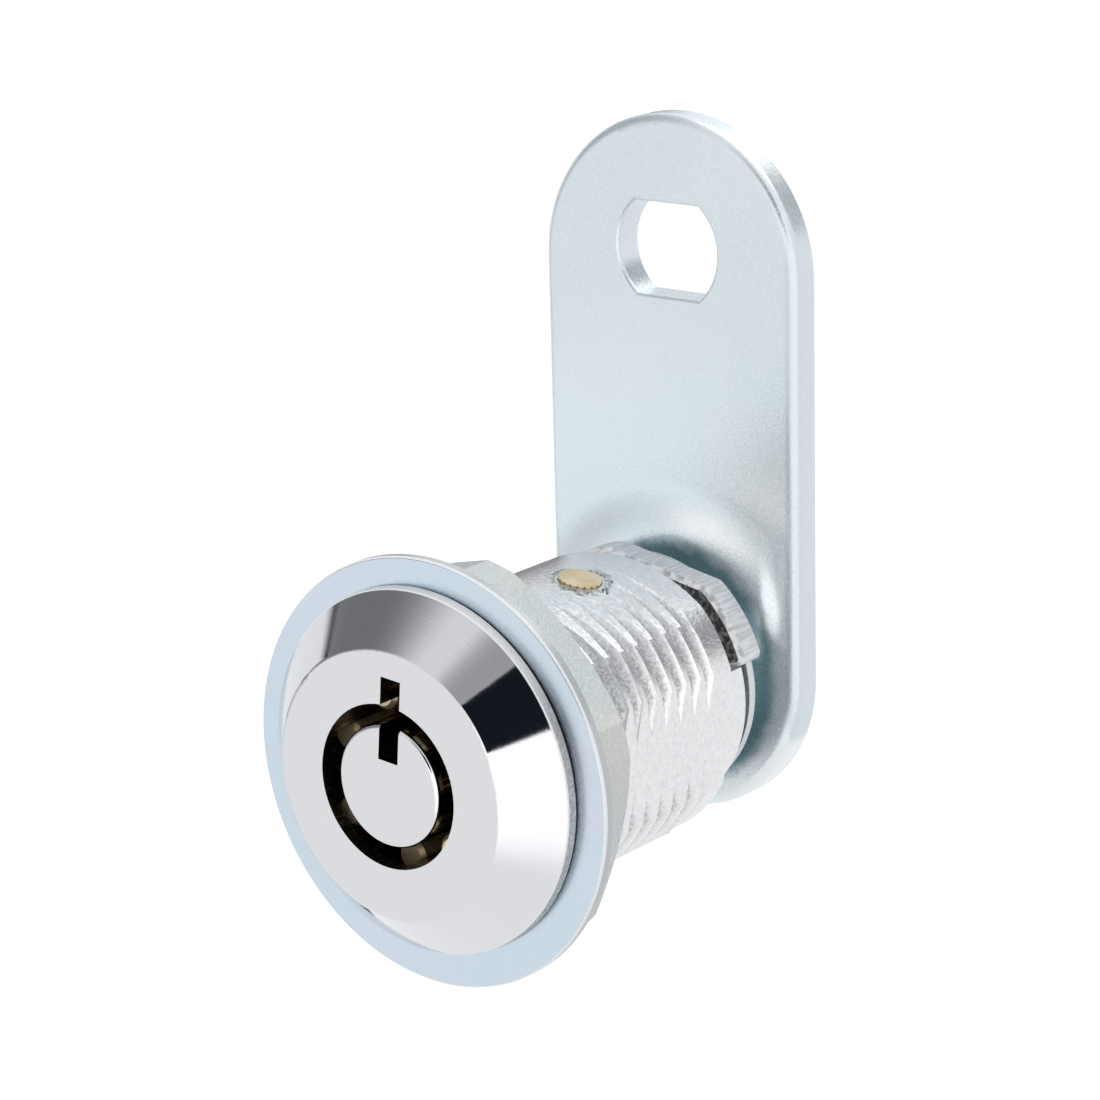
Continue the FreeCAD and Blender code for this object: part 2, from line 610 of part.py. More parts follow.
build_housing()
build_dress_washer()
build_nut("mounting_nut", "0", "nut_flats", "nut_thickness", "barrel_radius + nut_play",
          [("nut_corner", "0 - overrun"), ("nut_rim", "0 - overrun"),
           ("nut_rim", "nut_thickness"), ("nut_face", "nut_thickness"),
           ("nut_corner", "nut_thickness - nut_bevel")],
          "nut_turn")
build_spindle()
build_bushing()
build_retaining_pin()
build_pins()
build_stop_plate()
build_cam_spacer()
build_cam()
build_lock_washer()
build_nut("cam_nut", NUT_AT, "cam_nut_flats", "cam_nut_thickness", "shaft_radius + cam_nut_play",
          [("cam_nut_face", "cam_nut_thickness"), ("cam_nut_rim", "cam_nut_thickness"),
           ("cam_nut_rim", "cam_nut_thickness - cam_nut_bevel")])

doc.recompute()
os.makedirs("parts", exist_ok=True)
for item in doc.Objects:
    if "Invalid" in item.State or "Error" in item.State:
        raise RuntimeError(item.Name + " has a fault")
for body in BODIES:
    if body.Shape.isNull() or not body.Shape.isValid():
        raise RuntimeError(body.Label + " is not a sound solid")
    body.Shape.exportStep("parts/%s.step" % body.Label)
    print("%-16s volume %9.2f" % (body.Label, body.Shape.Volume))
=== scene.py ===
import math

import bpy
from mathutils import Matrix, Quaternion, Vector


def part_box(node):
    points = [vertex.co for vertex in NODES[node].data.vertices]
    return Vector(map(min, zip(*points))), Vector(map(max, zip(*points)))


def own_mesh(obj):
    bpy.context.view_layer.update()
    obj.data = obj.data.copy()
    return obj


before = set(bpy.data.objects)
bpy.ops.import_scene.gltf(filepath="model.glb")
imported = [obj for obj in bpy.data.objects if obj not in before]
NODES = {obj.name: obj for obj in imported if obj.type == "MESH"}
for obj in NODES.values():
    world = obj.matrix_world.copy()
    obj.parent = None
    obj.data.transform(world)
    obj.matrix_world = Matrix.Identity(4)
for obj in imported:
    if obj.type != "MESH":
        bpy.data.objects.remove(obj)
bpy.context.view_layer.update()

# Tubular cam lock: finishes, light and camera. Inside the finishes, places and depths are in
# millimetres and colours are linear.
MM = 0.001

# Depths along the axis, radii and angles in degrees of the forms that the finishes follow
HEAD_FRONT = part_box("housing")[0].y / MM
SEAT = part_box("dress_washer")[0].y / MM
CAM_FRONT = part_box("cam")[0].y / MM
CONE_END = HEAD_FRONT + 2.8
RIM_RADIUS, RIM_RELIEF, RELIEF_RADIUS = 11.05, 0.2, 10.6
RELIEF_FRONT = SEAT - RIM_RELIEF
EDGE_START, EDGE_END = CONE_END - 0.05, CONE_END + 0.06
BARREL_RADIUS, BARREL_END = 9.5, 17.0
THREAD_START, THREAD_END = 2.4, 15.1
FLAT_DISTANCE, FLAT_TURN = 8.65, 5.0
CROWN_RADIUS, CROWN_DROP, CROWN_TURN = 11.0, 2.35, 5.0
PIN_PLACE, PIN_TURN, PIN_RADIUS = 11.78, 11.3, 1.3
DRESS_RADIUS, DRESS_DROP = 13.0, 0.3
LIP_DEPTH = 0.12
CAVITY_RADIUS = 6.5
TAIL_PITCH, TAIL_RADIUS = 1.0, 3.4
TURNING_PITCH, TURNING_SLANT = 0.09, 1.7
PLATE_FRONT, PLATE_EDGE = 18.6, 0.3
PLATE_WORN = PLATE_FRONT + PLATE_EDGE
SHARP_ANGLE = 28

# Where the housing's finish changes: depths, radii, depths under the skin and heights over the axis
BARREL_DEPTHS = (SEAT - 0.05, SEAT + 0.05)
CAVITY_DEPTHS = (HEAD_FRONT + 0.05, HEAD_FRONT + LIP_DEPTH)
CAVITY_RADII = (CAVITY_RADIUS + 0.3, CAVITY_RADIUS)
RIM_RADII = (RIM_RADIUS - 0.3, RIM_RADIUS - 0.25)
GAP_RADII = (RELIEF_RADIUS, RELIEF_RADIUS + 0.05)
GAP_DEPTHS = (RELIEF_FRONT + 0.08, RELIEF_FRONT + 0.1)
LINE_SOFT, CONE_SOFT, THREAD_SOFT = 0.02, 0.1, 0.2
CONE_MARGIN = 0.3
GROOVE_UNDER = (0.06, 0.4)
# Heights where the cast grows coarser, its rings grow clearer and the rim is painted paler as a
# highlight
CAST_COARSER, RINGS_CLEARER, RIM_HIGHLIGHT_HEIGHTS = (3.0, 7.0), (-2.0, 5.0), (4.0, 8.5)
RINGS_FAINTEST = 0.25
STAKED_TOP, STAKED_RADII = (6.0, 7.5), (3.3, 2.9)
STAKED_INNER, STAKED_WANDER = (PIN_RADIUS + 0.1, PIN_RADIUS + 0.35), 2.4

# Where the finishes of the spindle, washer and stop plate change
DRUM_FRONT, DRUM_REAR = (HEAD_FRONT + 0.45, HEAD_FRONT + 0.75), (BARREL_END - 1.0, BARREL_END)
TAIL_DEPTHS, TAIL_RADII = (BARREL_END, BARREL_END + 0.3), (TAIL_RADIUS - 0.1, TAIL_RADIUS + 0.1)
WASHER_WALL = (DRESS_RADIUS - 0.02, DRESS_RADIUS - 0.01)
WASHER_EDGE, WASHER_FACE = (DRESS_RADIUS - 0.11, DRESS_RADIUS - 0.09), (SEAT + 0.2, SEAT + 0.1)
SHADE_RADII, SHADE_SIDE, SHADE_HEIGHTS = (12.4, 11.1), (5.0, 7.0), (2.5, 8.0, 2.5)
STOP_FACE = (PLATE_FRONT + 0.03, PLATE_FRONT + 0.01)
STOP_WORN = (PLATE_WORN + 0.15, PLATE_WORN - 0.05)

# Places on the cam between which its tones change, and how high its soft ring rises
LOW_PALER, RIGHT_PALER, RIGHT_PALER_BELOW = (26.0, 12.0), (1.0, 6.0), (19.0, 11.0)
CAM_FACE = (CAM_FRONT + 0.9, CAM_FRONT + 0.4)
CAM_WALL = (8.5, 8.9)
RING_RADII, RING_HEIGHTS, RING_SIDE, RING_RISE = (12.0, 7.8), (1.0, 5.0), (8.8, 6.6), 0.95
CAM_HIGHLIGHT_RADII, CAM_HIGHLIGHT_SIDE, CAM_HIGHLIGHT_HEIGHTS = (9.0, 10.8, 0.7), (0.5, 6.2, 1.6), (3.5, 8.5)
CAM_SHADOW_RADII, CAM_SHADOW_SIDE, PAINT_WANDER = (8.9, 7.9), (8.6, 7.0), 1.1
CAM_GLINT_SIDE, CAM_GLINT_HEIGHTS = (6.3, 6.7, 0.5), (1.6, 2.8, 0.8)

# How far each of these is laid over the tone under it
RIGHT_SHARE, CAM_HIGHLIGHT_SHARE, CAM_GLINT_SHARE, SHADE_SHARE, SPECKLE_SHARE = 0.8, 0.95, 0.75, 0.75, 0.25

# Values of the noise where the plates' pale speckles, and their rougher patches, start and are full
SPECKLES, PATCHES = (0.42, 0.66), (0.3, 0.7)

# Uneven scratches to each radian round the axis, and how often they change along a millimetre
KEYWAY_SCRATCHES, DRUM_SCRATCHES, STOP_SCRATCHES = 26.0, 22.0, 40.0
SCRATCH_CHANGES = 0.5

# Roughness of each surface, and how far a plate's drifts below and above it
PLATED_ROUGH, BARREL_ROUGH, RAW_ROUGH, POST_ROUGH, DRUM_ROUGH = 0.05, 0.22, 0.4, 0.08, 0.34
ZINC_ROUGH, NUT_ROUGH, STOP_ROUGH, SPRING_ROUGH = 0.26, 0.42, 0.4, 0.3
BRASS_ROUGH, CAST_ROUGH, FLOOR_ROUGH = 0.38, 0.42, 0.9
ROUGH_BELOW, ROUGH_ABOVE = 0.02, 0.03

# Share of each surface that scatters light as paint does: 0 is bare metal. The stop plate's worn
# edge adds its own to the plate's.
RIM_DULL, BARREL_DULL, CAM_DULL, CAM_HIGHLIGHT_DULL, WALL_DULL = 0.7, 0.05, 0.45, 0.2, 0.8
NUT_DULL, STOP_DULL, WORN_DULL, BRASS_DULL = 0.6, 0.6, 0.3, 0.3

# Height of each bump
RINGS_BUMP, CAST_BUMP, COARSE_BUMP, PITS_BUMP, THREAD_BUMP = 0.0015, 0.012, 0.03, 0.05, 0.8

# Plain colours
WHITE, BLACK = (1.0, 1.0, 1.0), (0.0, 0.0, 0.0)
CHROME_TONE = (0.72, 0.725, 0.74)
# Painted highlight on the rim's top, and painted shade in its relief gap
RIM_HIGHLIGHT_TONE, RIM_GAP_SHADE_TONE = (0.9, 0.9, 0.9), (0.05, 0.05, 0.052)
# Painted light: the cam's face paler low down and on the right
CAM_LOW_TONE, CAM_RIGHT_TONE = (0.83, 0.93, 0.97), (0.92, 0.96, 0.98)
# The cam's painted highlight, and the painted shadow and reflection of the stop plate on it
CAM_HIGHLIGHT_TONE, CAM_SHADOW_TONE = (0.98, 1.0, 1.0), (0.24, 0.39, 0.43)
# A painted glint, and painted shade on the cam's right side
CAM_GLINT_TONE, CAM_SIDE_SHADE_TONE = (0.86, 0.9, 0.72), (0.71, 0.78, 0.82)
WASHER_SHADE_TONE, WASHER_WALL_TONE = (0.3, 0.33, 0.37), (0.52, 0.56, 0.58)
BRASS_TONE, CAST_TONE = (0.8, 0.66, 0.42), (0.5, 0.5, 0.49)

# Mottled tones: the noise's values where the first colour ends and the second is reached
TONES = {
    "turned": (0.36, 0.62, (0.62, 0.625, 0.64), (0.8, 0.805, 0.82)),
    "cast": (0.35, 0.62, (0.76, 0.765, 0.78), (0.84, 0.845, 0.855)),
    "rough_cast": (0.38, 0.6, (0.78, 0.785, 0.8), (0.94, 0.94, 0.95)),
    "groove": (0.36, 0.64, (0.5, 0.5, 0.51), (0.82, 0.82, 0.83)),
    "staked": (0.42, 0.55, (0.14, 0.14, 0.15), (0.75, 0.75, 0.75)),
    "rim": (0.3, 0.7, (0.4, 0.41, 0.42), (0.64, 0.65, 0.66)),
    # Painted shade, streaked brown, in the keyway and on the spindle's drum
    "keyway_shade": (0.5, 0.68, (0.05, 0.045, 0.04), (0.36, 0.25, 0.14)),
    "drum_shade": (0.48, 0.66, (0.02, 0.015, 0.011), (0.42, 0.27, 0.14)),
    "scratched": (0.4, 0.62, (0.62, 0.66, 0.69), (0.8, 0.84, 0.86)),
    "chipped": (0.38, 0.6, (0.5, 0.51, 0.52), (0.95, 0.95, 0.96)),
    "plate_front_shadow": (0.4, 0.7, (0.03, 0.03, 0.03), (0.3, 0.3, 0.3)),
    "brass": (0.35, 0.65, (0.74, 0.58, 0.35), (0.87, 0.74, 0.53)),
    "plain_cast": (0.3, 0.7, (0.42, 0.42, 0.41), (0.56, 0.56, 0.55)),
    "washer": (0.35, 0.7, (0.62, 0.73, 0.81), (0.66, 0.73, 0.82)),
    "cam": (0.35, 0.7, (0.73, 0.82, 0.86), (0.77, 0.84, 0.87)),
    "steel": (0.35, 0.7, (0.66, 0.7, 0.73), (0.7, 0.72, 0.73)),
    "nut": (0.35, 0.7, (0.53, 0.58, 0.58), (0.6, 0.61, 0.58)),
    "spring": (0.35, 0.7, (0.5, 0.51, 0.53), (0.44, 0.45, 0.47)),
}

# What metal meets round the lock: the way to each screen's middle, the angles from there at
# which it is full and gone, and its tone. A later screen stands before the earlier ones.
STUDIO_TONE = (0.99, 0.99, 1.0)
SCREENS = (
    ((-25, 68), 15, 45, (0.85, 0.855, 0.87)),
    ((-84, 31), 4, 50, (0.2, 0.205, 0.22)),
    ((-112, -9), 29, 30, (0.04, 0.04, 0.045)),
    ((-112, -9), 22, 28.8, (0.93, 0.94, 0.97)),
    ((152, 25), 10, 19, (0.1, 0.1, 0.11)),
    ((-138, 0), 5, 18, (0.2, 0.2, 0.21)),
    ((50, -2), 22, 50, (1.42, 1.42, 1.42)),
    ((26, 50), 2, 20, (0.4, 0.4, 0.42)),
    ((41.5, 31.3), 16.1, 16.8, (0.008, 0.01, 0.016)),
)
AMBIENT_TONE = (0.8, 0.8, 0.81)
LAMP_WAY, LAMP_DISTANCE, LAMP_SIZE, LAMP_POWER = (165, 62), 0.5, 0.4, 0.8
FLOOR_TONE, FLOOR_GLOW = (0.8, 0.8, 0.8), (0.4, 0.4, 0.4)

# Camera, fitted to the photograph
AZIMUTH, ELEVATION, ROLL = 38.68, 16.33, -1.52
TARGET = Vector((0.907, 10.0, 10.744)) * MM
DISTANCE = 209.24 * MM
FOCAL_PIXELS, PHOTO_PIXELS, SENSOR = 3538.0, 1100, 36.0
CLIP_NEAR, CLIP_FAR = 0.01, 20.0

# Middle of the lock, and the floor under it, in metres
LOCK_MIDDLE = Vector((0.0, 5.0, 0.0)) * MM
FLOOR_DROP, FLOOR_SIZE = 0.16, 4.0


def direction(azimuth, elevation):
    """Unit vector towards a compass place round the lock; azimuth 0 is straight in front of it."""
    turn, lift = math.radians(azimuth), math.radians(elevation)
    flat = math.cos(lift)
    return Vector((math.sin(turn) * flat, -math.cos(turn) * flat, math.sin(lift)))


class Tree:
    """Short calls that add linked nodes to one node tree."""

    def __init__(self, tree):
        self.tree = tree

    def add(self, kind, **settings):
        item = self.tree.nodes.new(kind)
        for key, setting in settings.items():
            setattr(item, key, setting)
        return item

    def feed(self, socket, source):
        """Link a socket to another, or give it a plain value."""
        if isinstance(source, bpy.types.NodeSocket):
            self.tree.links.new(source, socket)
        elif socket.type == "RGBA" and len(source) == 3:
            socket.default_value = (*source, 1.0)
        else:
            socket.default_value = source

    def calc(self, operation, *sources):
        """Maths on two numbers, or on more of them one after the other."""
        *earlier, last = sources
        if len(earlier) > 1:
            return self.calc(operation, self.calc(operation, *earlier), last)
        item = self.add("ShaderNodeMath", operation=operation)
        for socket, source in zip(item.inputs, sources):
            self.feed(socket, source)
        return item.outputs[0]

    def times(self, *sources):
        return self.calc("MULTIPLY", *sources)

    def most(self, *sources):
        return self.calc("MAXIMUM", *sources)

    def vector(self, operation, *sources):
        item = self.add("ShaderNodeVectorMath", operation=operation)
        for socket, source in zip(item.inputs, sources):
            self.feed(socket, source)
        return item.outputs["Value" if operation in ("LENGTH", "DOT_PRODUCT") else "Vector"]

    def step(self, source, low, high, start=0.0, end=1.0):
        """Smooth step from start to end while the source goes from low to high, or down to it."""
        item = self.add("ShaderNodeMapRange", interpolation_type="SMOOTHSTEP")
        for name, setting in (("Value", source), ("From Min", low), ("From Max", high),
                              ("To Min", start), ("To Max", end)):
            self.feed(item.inputs[name], setting)
        return item.outputs["Result"]

    def within(self, source, low, high, soft):
        """One where the source lies between two values, fading out over a soft edge at each."""
        return self.times(self.step(source, low - soft, low + soft),
                          self.step(source, high + soft, high - soft))

    def mix(self, share, first, second, kind="Color"):
        """Blend two colours."""
        item = self.add("ShaderNodeMix", data_type={"Color": "RGBA", "Float": "FLOAT"}[kind])
        sockets = {socket.identifier: socket for socket in item.inputs}
        self.feed(sockets["Factor_Float"], share)
        self.feed(sockets["A_" + kind], first)
        self.feed(sockets["B_" + kind], second)
        return next(s for s in item.outputs if s.identifier == "Result_" + kind)

    def blend(self, share, first, second):
        """Blend two numbers."""
        return self.mix(share, first, second, "Float")

    def mottled(self, name, source):
        """The two colours of a named tone, one changing to the other as the source rises."""
        low, high, dark, light = TONES[name]
        return self.mix(self.step(source, low, high), dark, light)

    def noise(self, vector, scale, detail=3.0, roughness=0.5):
        """Noise from 0 to 1, with the scale in waves a millimetre."""
        item = self.add("ShaderNodeTexNoise")
        for name, source in (("Vector", vector), ("Scale", scale), ("Detail", detail),
                             ("Roughness", roughness)):
            self.feed(item.inputs[name], source)
        return item.outputs["Fac"]


class Finish(Tree):
    """One metal finish, with the place on the lock at hand in millimetres."""

    def __init__(self, name, colour, metallic=1.0, roughness=0.3):
        self.item = bpy.data.materials.new(name)
        self.item.use_nodes = True
        super().__init__(self.item.node_tree)
        self.shader = self.tree.nodes["Principled BSDF"]
        self.feed(self.shader.inputs["Base Color"], colour)
        self.feed(self.shader.inputs["Metallic"], metallic)
        self.feed(self.shader.inputs["Roughness"], roughness)
        coordinates = self.add("ShaderNodeTexCoord")
        scaled = self.add("ShaderNodeVectorMath", operation="SCALE")
        self.feed(scaled.inputs[0], coordinates.outputs["Object"])
        self.feed(scaled.inputs["Scale"], 1 / MM)
        self.place = scaled.outputs[0]
        split = self.add("ShaderNodeSeparateXYZ")
        self.feed(split.inputs[0], self.place)
        self.x, self.y, self.z = split.outputs
        squares = self.calc("ADD", self.times(self.x, self.x), self.times(self.z, self.z))
        self.radius = self.calc("SQRT", squares)
        self.angle = self.calc("ARCTAN2", self.z, self.x)
        self.bumps = None

    def set(self, name, source):
        self.feed(self.shader.inputs[name], source)

    def join(self, x, y, z):
        item = self.add("ShaderNodeCombineXYZ")
        for socket, source in zip(item.inputs, (x, y, z)):
            self.feed(socket, source)
        return item.outputs[0]

    def bump(self, height, depth):
        """Raise the surface by up to depth millimetres, over the bumps that it has already."""
        item = self.add("ShaderNodeBump")
        self.feed(item.inputs["Height"], height)
        self.feed(item.inputs["Strength"], 1.0)
        self.feed(item.inputs["Distance"], depth * MM)
        if self.bumps:
            self.feed(item.inputs["Normal"], self.bumps)
        self.bumps = item.outputs["Normal"]
        self.set("Normal", self.bumps)

    def turning(self):
        """Fine uneven rings as a lathe leaves them, one value for each radius and depth."""
        across = self.calc("ADD", self.radius, self.times(self.y, TURNING_SLANT))
        line = self.join(across, 0.0, 0.0)
        return self.noise(line, 1 / TURNING_PITCH, detail=4.0, roughness=0.7)

    def scratches(self, number):
        """Uneven scratches along the lock's axis, so many to each radian round it."""
        along = self.times(self.y, SCRATCH_CHANGES)
        return self.noise(self.join(self.times(self.angle, number), along, self.radius), scale=1.0)

    def aside(self, degrees):
        """Distance sideways from a plane through the axis that leans to the right by an angle."""
        lean = math.radians(degrees)
        return self.calc("SUBTRACT", self.times(self.x, math.cos(lean)),
                         self.times(self.z, math.sin(lean)))

    def across(self, centre):
        """Distance from a line along the axis that goes through a centre."""
        moved = self.vector("SUBTRACT", self.place, centre)
        return self.vector("LENGTH", self.vector("MULTIPLY", moved, (1, 0, 1)))


def staked_ring(finish):
    """Rough ring that staking the retaining pin leaves on the barrel."""
    along = finish.calc("SUBTRACT", finish.y, PIN_PLACE)
    away = finish.vector("LENGTH", finish.join(finish.aside(PIN_TURN), along, 0.0))
    wander = finish.times(finish.noise(finish.place, scale=1.0), STAKED_WANDER)
    ragged = finish.calc("ADD", away, wander)
    return finish.times(finish.step(ragged, *STAKED_RADII), finish.step(away, *STAKED_INNER),
                        finish.step(finish.z, *STAKED_TOP))


def skin_depth(finish):
    """How far a place lies under the barrel's round, crowned and flatted skin."""
    lean = math.radians(CROWN_TURN)
    centre = (math.sin(lean) * CROWN_DROP, 0.0, -math.cos(lean) * CROWN_DROP)
    crown = finish.calc("SUBTRACT", CROWN_RADIUS, finish.across(centre))
    skin = finish.calc("MINIMUM", finish.calc("SUBTRACT", BARREL_RADIUS, finish.radius), crown)
    sideways = finish.calc("ABSOLUTE", finish.aside(FLAT_TURN))
    return finish.calc("MINIMUM", skin, finish.calc("SUBTRACT", FLAT_DISTANCE, sideways))


def housing_finish():
    """Plated head with turned rings on its cone, and a rough cast barrel behind it."""
    finish = Finish("housing_finish", CHROME_TONE)
    depth, height = finish.y, finish.z

    # Where each part of the casting lies
    barrel = finish.step(depth, *BARREL_DEPTHS)
    inside = finish.times(finish.step(finish.radius, *CAVITY_RADII),
                          finish.step(depth, *CAVITY_DEPTHS))
    outer = finish.step(finish.radius, *RIM_RADII)
    rim = finish.times(outer, finish.within(depth, EDGE_END, SEAT, LINE_SOFT))
    edge_highlight = finish.times(outer, finish.within(depth, EDGE_START, EDGE_END, LINE_SOFT))
    gap_shade = finish.times(finish.step(finish.radius, *GAP_RADII), finish.step(depth, *GAP_DEPTHS))
    cone = finish.within(depth, HEAD_FRONT + CONE_MARGIN, CONE_END, CONE_SOFT)
    groove = finish.times(finish.step(skin_depth(finish), *GROOVE_UNDER),
                          finish.within(depth, THREAD_START, THREAD_END, THREAD_SOFT))
    staked = staked_ring(finish)
    coarse = finish.step(height, *CAST_COARSER)

    rings = finish.turning()
    grain = finish.noise(finish.place, scale=3.0, detail=5.0, roughness=0.7)
    pits = finish.noise(finish.place, scale=5.5, detail=3.0, roughness=0.6)

    turned = finish.times(cone, finish.step(height, *RINGS_CLEARER, start=RINGS_FAINTEST))
    colour = finish.mix(turned, CHROME_TONE, finish.mottled("turned", rings))
    cast = finish.mix(coarse, finish.mottled("cast", grain), finish.mottled("rough_cast", grain))
    colour = finish.mix(barrel, colour, cast)
    colour = finish.mix(groove, colour, finish.mottled("groove", pits))
    colour = finish.mix(staked, colour, finish.mottled("staked", pits))
    # The rim's grey side turns paler towards the top: a painted highlight
    rim_highlight = finish.step(height, *RIM_HIGHLIGHT_HEIGHTS)
    colour = finish.mix(rim, colour, finish.mix(rim_highlight, finish.mottled("rim", pits), RIM_HIGHLIGHT_TONE))
    # Thin ring round the cone's outer edge, painted white and dull: a painted highlight
    colour = finish.mix(edge_highlight, colour, WHITE)
    # Near-black in the relief between the rim and the washer: painted shade
    colour = finish.mix(gap_shade, colour, RIM_GAP_SHADE_TONE)
    # The keyway's walls are painted dark and streaked: painted shade in the cavity
    streaked_shade = finish.mottled("keyway_shade", finish.scratches(KEYWAY_SCRATCHES))
    finish.set("Base Color", finish.mix(inside, colour, streaked_shade))

    dull = finish.most(edge_highlight, gap_shade, finish.times(rim, RIM_DULL), finish.times(barrel, BARREL_DULL))
    finish.set("Metallic", finish.blend(dull, 1.0, 0.0))
    smooth = finish.blend(barrel, PLATED_ROUGH, BARREL_ROUGH)
    rough = finish.blend(finish.most(groove, rim), smooth, RAW_ROUGH)
    finish.set("Roughness", finish.blend(inside, rough, RAW_ROUGH))

    finish.bump(finish.times(rings, cone), RINGS_BUMP)
    finish.bump(finish.times(grain, barrel), CAST_BUMP)
    finish.bump(finish.times(grain, barrel, coarse), COARSE_BUMP)
    finish.bump(finish.times(pits, finish.most(groove, staked, rim)), PITS_BUMP)
    return finish.item


def plate_finish(name, tone_name, roughness, shade=None, speckle=0.0,
                 grain_scale=9.0, grain_depth=0.004):
    """Zinc plate: one pale colour drifting to another, with a fine grain and pale speckles."""
    finish = Finish(name, TONES[tone_name][2], roughness=roughness)
    tone = finish.mottled(tone_name, finish.noise(finish.place, scale=0.14, detail=2.0))
    grain = finish.noise(finish.place, grain_scale, detail=3.0)
    if speckle:
        spots = finish.times(finish.step(grain, *SPECKLES), speckle)
        tone = finish.mix(spots, tone, WHITE)
    if shade:
        tone, dull = shade(finish, tone)
        finish.set("Metallic", finish.blend(dull, 1.0, 0.0))
    finish.set("Base Color", tone)
    patches = finish.noise(finish.place, scale=3.0, detail=5.0)
    finish.set("Roughness", finish.step(patches, *PATCHES, start=roughness - ROUGH_BELOW,
                                        end=roughness + ROUGH_ABOVE))
    finish.bump(grain, grain_depth)
    return finish.item


def cam_shade(finish, tone):
    """Painted light and shade on the cam's face and side, and a soft ring past the stop plate."""
    side, height = finish.x, finish.z
    front = finish.step(finish.y, *CAM_FACE)
    # Paler low down and on the right: painted light
    tone = finish.mix(finish.step(height, *LOW_PALER), tone, CAM_LOW_TONE)
    right = finish.times(finish.step(side, *RIGHT_PALER), finish.step(height, *RIGHT_PALER_BELOW))
    tone = finish.mix(finish.times(right, RIGHT_SHARE), tone, CAM_RIGHT_TONE)

    wander = finish.times(finish.noise(finish.place, scale=0.7), PAINT_WANDER)
    away = finish.calc("ADD", finish.radius, wander)
    # Band past the stop plate made paler and less metallic: a painted highlight
    glow = finish.times(finish.within(away, *CAM_HIGHLIGHT_RADII), finish.step(height, *CAM_HIGHLIGHT_HEIGHTS),
                        front, finish.within(side, *CAM_HIGHLIGHT_SIDE))
    tone = finish.mix(finish.times(glow, CAM_HIGHLIGHT_SHARE), tone, CAM_HIGHLIGHT_TONE)
    ring = finish.times(finish.step(finish.radius, *RING_RADII),
                        finish.step(height, *RING_HEIGHTS), front, finish.step(side, *RING_SIDE))
    finish.bump(ring, RING_RISE)

    # Dark teal round the stop plate: a painted shadow and reflection of the plate
    plate_shadow = finish.times(finish.step(away, *CAM_SHADOW_RADII), finish.step(side, *CAM_SHADOW_SIDE), front)
    tone = finish.mix(plate_shadow, tone, CAM_SHADOW_TONE)
    # Small yellowish spot: a painted glint
    painted_glint = finish.times(finish.within(side, *CAM_GLINT_SIDE), finish.within(height, *CAM_GLINT_HEIGHTS),
                         front)
    tone = finish.mix(finish.times(painted_glint, CAM_GLINT_SHARE), tone, CAM_GLINT_TONE)
    # The right side wall painted darker: painted shade
    tone = finish.mix(finish.step(side, *CAM_WALL), tone, CAM_SIDE_SHADE_TONE)
    return tone, finish.blend(glow, CAM_DULL, CAM_HIGHLIGHT_DULL)


def washer_shade(finish, tone):
    """Dull grey wall, painted highlight on the edge before it and soft shade by the head's rim."""
    away = finish.across((0.0, 0.0, -DRESS_DROP))
    wall = finish.step(away, *WASHER_WALL)
    # Thin white ring at the outer edge: a painted highlight
    edge_highlight = finish.times(finish.step(away, *WASHER_EDGE), finish.step(finish.y, *WASHER_FACE))
    side = finish.times(finish.within(finish.z, *SHADE_HEIGHTS),
                        finish.step(finish.x, *SHADE_SIDE))
    close = finish.times(finish.step(finish.radius, *SHADE_RADII), side, SHADE_SHARE)
    tone = finish.mix(close, tone, WASHER_SHADE_TONE)
    tone = finish.mix(wall, tone, WASHER_WALL_TONE)
    return finish.mix(edge_highlight, tone, WHITE), finish.most(finish.times(wall, WALL_DULL), edge_highlight)


def nut_shade(_, tone):
    """Zinc alloy that scatters much of the light."""
    return tone, NUT_DULL


def stop_shade(finish, tone):
    """Stop plate: front face painted dark as shadow, worn chipped edge and scratched rim."""
    front = finish.step(finish.y, *STOP_FACE)
    worn = finish.step(finish.y, *STOP_WORN)
    chipped = finish.mottled("chipped", finish.noise(finish.place, scale=2.0, detail=4.0))
    scratched = finish.mottled("scratched", finish.scratches(STOP_SCRATCHES))
    tone = finish.mix(worn, scratched, chipped)
    # The front face is painted dark: a painted shadow
    dark = finish.mottled("plate_front_shadow", finish.noise(finish.place, scale=3.0))
    dull = finish.calc("ADD", finish.times(worn, WORN_DULL), STOP_DULL)
    return finish.mix(front, tone, dark), dull


def spindle_finish():
    """Plated post front, the drum round it painted dark as shade, and a threaded tail behind."""
    finish = Finish("spindle_finish", CHROME_TONE)
    shade = finish.times(finish.step(finish.y, *DRUM_FRONT),
                         finish.step(finish.y, *DRUM_REAR, start=1.0, end=0.0))
    # The drum is painted near-black, streaked brown: painted shade deep in the keyway
    streaked_shade = finish.mottled("drum_shade", finish.scratches(DRUM_SCRATCHES))
    finish.set("Base Color", finish.mix(shade, CHROME_TONE, streaked_shade))
    finish.set("Roughness", finish.blend(shade, POST_ROUGH, DRUM_ROUGH))
    turns = finish.calc("DIVIDE", finish.angle, math.tau)
    phase = finish.calc("ADD", finish.calc("DIVIDE", finish.y, TAIL_PITCH), turns)
    ridge = finish.calc("PINGPONG", finish.calc("FRACT", phase), 0.5)
    round_tail = finish.times(finish.step(finish.y, *TAIL_DEPTHS),
                              finish.step(finish.radius, *TAIL_RADII))
    finish.bump(finish.times(ridge, round_tail), THREAD_BUMP)
    return finish.item


def mottled_finish(name, colour, tone_name, roughness, dull=0.0, *,
                   grain_scale, grain_detail, grain_depth):
    """Plain metal with two colours mottled over it and a fine grain."""
    finish = Finish(name, colour, 1.0 - dull, roughness)
    spots = finish.noise(finish.place, scale=0.8, detail=4.0)
    finish.set("Base Color", finish.mottled(tone_name, spots))
    finish.bump(finish.noise(finish.place, grain_scale, grain_detail), grain_depth)
    return finish.item


